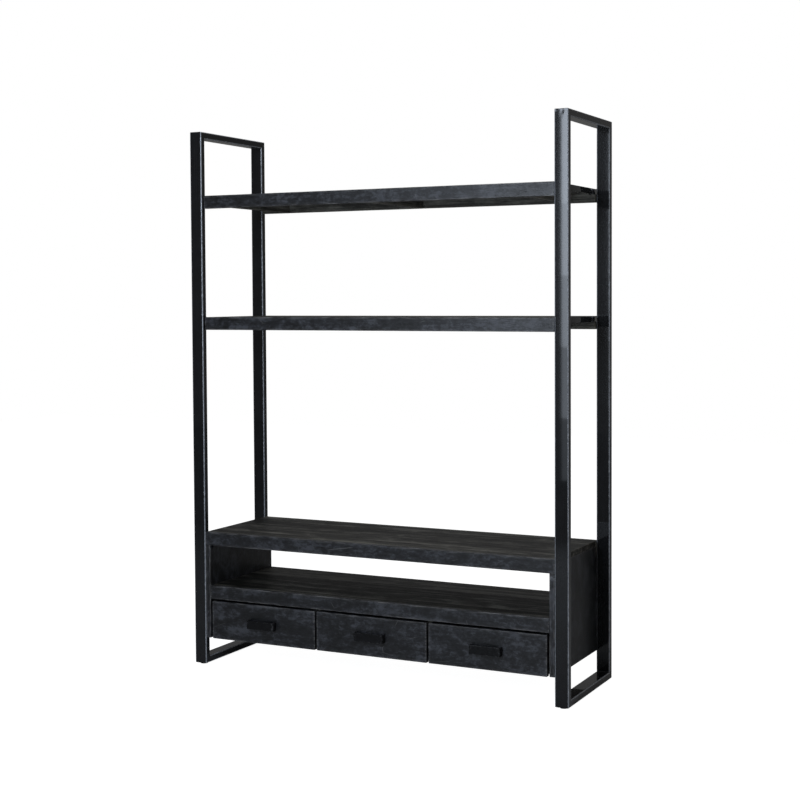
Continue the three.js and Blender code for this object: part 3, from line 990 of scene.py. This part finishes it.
def screw_tree():
    sizes = {"Head radius": HEAD_RADIUS, "Recess width": RECESS_WIDTH, "Seed": 11}
    tree, given = new_tree("screw_head", sizes)
    radius = given["Head radius"]
    dome = add_node(tree, "GeometryNodeMeshUVSphere", {}, {"Segments": 20, "Rings": 10, "Radius": radius})
    dome = add_node(tree, "GeometryNodeTransform", {}, {0: dome.outputs[0], "Scale": (1, 1, 0.5)})
    long_side = calc(tree, "MULTIPLY", radius, 1.1)
    slots = []
    for axis, other in (("X", "Y"), ("Y", "X")):
        size = add_node(tree, "ShaderNodeCombineXYZ", {}, {
            axis: long_side, other: given["Recess width"], "Z": radius})
        bar = add_node(tree, "GeometryNodeMeshCube", {}, {"Size": size.outputs[0]})
        lift = add_node(tree, "ShaderNodeCombineXYZ", {}, {"Z": calc(tree, "MULTIPLY", radius, 0.78)})
        slots.append(add_node(tree, "GeometryNodeTransform", {}, {
            0: bar.outputs[0], "Translation": lift.outputs[0]}))
    head = dome.outputs[0]
    for bar in slots:
        carved = add_node(tree, "GeometryNodeMeshBoolean", {"operation": "DIFFERENCE"}, {0: head})
        tree.links.new(bar.outputs[0], carved.inputs[1])
        head = carved.outputs[0]
    rim = calc(tree, "MULTIPLY", radius, 1.5)
    washer = add_node(tree, "GeometryNodeMeshCylinder", {}, {
        "Vertices": 24, "Radius": rim, "Depth": WASHER_THICK})
    whole = add_node(tree, "GeometryNodeJoinGeometry")
    tree.links.new(head, whole.inputs[0])
    tree.links.new(washer.outputs[0], whole.inputs[0])
    aim = add_node(tree, "GeometryNodeInputNamedAttribute", {"data_type": "FLOAT_VECTOR"}, {"Name": "aim"})
    facing = add_node(tree, "FunctionNodeAlignRotationToVector", {"axis": "Z"}, {"Vector": aim.outputs[0]})
    spin = add_node(tree, "FunctionNodeRandomValue", {"data_type": "FLOAT"}, {
        2: 0.0, 3: 1.5, "Seed": given["Seed"]})
    turn = add_node(tree, "ShaderNodeCombineXYZ", {}, {"Z": spin.outputs[1]})
    turned = add_node(tree, "FunctionNodeRotateRotation", {"rotation_space": "LOCAL"}, {
        0: facing.outputs[0], 1: turn.outputs[0]})
    points = add_node(tree, "GeometryNodeMeshToPoints", {}, {0: given["Guide"]})
    set_out = add_node(tree, "GeometryNodeInstanceOnPoints", {}, {
        "Points": points.outputs[0], "Instance": whole.outputs[0], "Rotation": turned.outputs[0]})
    end_tree(tree, set_out.outputs[0], screw_steel)
    return tree


def evenly(start, end, count):
    return [start + (end - start) * (i + 0.5) / count for i in range(count)]


def carcass_screws():
    """Places and directions of the screws that ride with the root."""
    found = []
    down, back = (0, 0, -1), (0, 1, 0)
    for shelf in ("upper_shelf", "lower_shelf"):
        for side in ("left", "right"):
            low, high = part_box(f"{shelf}_{side}_angle")
            middle = (low[0] + high[0]) / 2
            found += [((middle, y, low[2]), down) for y in evenly(low[1], high[1], 4)]
        for place in ("left", "middle", "right"):
            low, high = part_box(f"{shelf}_{place}_batten")
            middle = (low[0] + high[0]) / 2
            found += [((middle, y, low[2] + BATTEN_SINK), down) for y in evenly(low[1], high[1], 3)]
    low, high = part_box("cabinet_back_panel")
    for z in (low[2] + BACK_ROW_INSET, high[2] - BACK_ROW_INSET):
        found += [((x, high[1], z), back) for x in evenly(low[0], high[0], 9)]
    return found


def run_screws(name, found, body, radius):
    screws = run_tree(name, screw_heads, [place for place, aim in found], [], {"Head radius": radius},
                      [aim for place, aim in found])
    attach(screws, body)
    print(name, len(found), "screws,", len(screws.data.polygons), "faces")


screw_heads = screw_tree()
run_screws("carcass_screws", carcass_screws(), "root", HEAD_RADIUS)
for place in DRAWERS:
    low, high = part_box(f"{place}_handle")
    inner_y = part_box(f"{place}_drawer_front")[1][1]
    middle = (low[2] + high[2]) / 2
    ends = (low[0] + HANDLE_SCREW_INSET, high[0] - HANDLE_SCREW_INSET)
    found = [((x, inner_y, middle), (0, 1, 0)) for x in ends]
    run_screws(f"{place}_handle_screws", found, BODY_OF[f"{place}_handle"], HANDLE_HEAD_RADIUS)

# %% [markdown]
# ## Floor, backdrop and light
# The studio is white where the camera looks, but dim all round, so that black furniture
# keeps its depth. The world shader is bright for camera rays and dim for all others, and
# so is the floor. Softboxes do the lighting. A tall one in front mirrors in the right
# post: its light fades downwards, so it is a stack of lamps. One above lights the tops,
# one on the right and a low one in front give the fronts their sheen, and a weak one high
# behind keeps the back from going black.


# %% Stage
STUDIO_WHITE = 1.0
STUDIO_FILL = 0.13
FLOOR_GREY = 0.60
FLOOR_GLOW = 0.97
FLOOR_REACH = 9.0


def white_for_camera(tree, lit_shader, seen_shader):
    path = add_node(tree, "ShaderNodeLightPath").outputs["Is Camera Ray"]
    return add_node(tree, "ShaderNodeMixShader", {}, {0: path, 1: lit_shader, 2: seen_shader}).outputs[0]


def add_stage():
    material, tree, shader = new_material("pale_floor")
    shader.inputs["Base Color"].default_value = (FLOOR_GREY, FLOOR_GREY, FLOOR_GREY, 1)
    shader.inputs["Roughness"].default_value = 0.9
    shader.inputs["Specular IOR Level"].default_value = 0.1
    glow = add_node(tree, "ShaderNodeEmission", {}, {"Color": (1, 1, 1, 1), "Strength": FLOOR_GLOW})
    bright = add_node(tree, "ShaderNodeAddShader", {}, {0: shader.outputs[0], 1: glow.outputs[0]}).outputs[0]
    output = tree.nodes["Material Output"]
    tree.links.new(white_for_camera(tree, shader.outputs[0], bright), output.inputs["Surface"])
    points = [(-FLOOR_REACH, -FLOOR_REACH, 0), (FLOOR_REACH, -FLOOR_REACH, 0),
              (FLOOR_REACH, FLOOR_REACH, 0), (-FLOOR_REACH, FLOOR_REACH, 0)]
    make_object("floor", points, [(0, 1, 2, 3)], material)
    world = bpy.data.worlds.new("studio")
    world.use_nodes = True
    tree = world.node_tree
    dim = tree.nodes["Background"]
    dim.inputs["Color"].default_value = (1, 1, 1, 1)
    dim.inputs["Strength"].default_value = STUDIO_FILL
    seen = add_node(tree, "ShaderNodeBackground", {}, {"Color": (1, 1, 1, 1), "Strength": STUDIO_WHITE})
    output = tree.nodes["World Output"]
    tree.links.new(white_for_camera(tree, dim.outputs[0], seen.outputs[0]), output.inputs["Surface"])
    bpy.context.scene.world = world


def add_softbox(name, place, target, size, radiance, colour=(1, 1, 1)):
    """A lamp whose face has a given brightness, whatever its size."""
    data = bpy.data.lights.new(name, "AREA")
    data.shape = "RECTANGLE"
    data.size, data.size_y = size
    data.energy = radiance * math.pi * size[0] * size[1]
    data.color = colour
    lamp = bpy.data.objects.new(name, data)
    lamp.visible_camera = False
    bpy.context.scene.collection.objects.link(lamp)
    lamp.location = place
    lamp.rotation_euler = (Vector(target) - Vector(place)).to_track_quat("-Z", "Y").to_euler()
    return lamp


FRONT_LAMP_LEFT = -0.465
FRONT_LAMP_WIDTH = 0.9
FRONT_LAMP_Y = -3.415
FRONT_LAMP_COLOUR = (0.78, 0.87, 1.0)
# top, bottom and radiance of each lamp in the stack
FRONT_LAMP_STACK = ((3.3, 1.9, 11.0), (1.9, 1.5, 9.0), (1.5, 1.1, 6.0), (1.1, 0.7, 3.2), (0.7, 0.35, 1.0))

add_stage()
for number, (top, bottom, radiance) in enumerate(FRONT_LAMP_STACK):
    place = (FRONT_LAMP_LEFT + FRONT_LAMP_WIDTH / 2, FRONT_LAMP_Y, (top + bottom) / 2)
    size = (FRONT_LAMP_WIDTH, top - bottom)
    add_softbox(f"front_softbox_{number}", place, (place[0], 0, place[2]), size, radiance, FRONT_LAMP_COLOUR)
add_softbox("top_softbox", (0.3, -0.6, 3.9), (0.0, 0.0, 1.0), (2.6, 1.6), 1.2, (1.0, 0.98, 0.95))
add_softbox("right_softbox", (3.6, -1.9, 2.1), (0.3, 0.0, 1.4), (0.5, 1.8), 1.8)
add_softbox("low_softbox", (0.75, -3.4, 0.4), (0.4, 0.0, 0.5), (0.6, 0.6), 5.0, (0.85, 0.92, 1.0))
add_softbox("back_softbox", (-1.2, 3.2, 3.6), (0.0, 0.2, 1.0), (2.2, 1.2), 0.7)
print("stage and lamps ready")
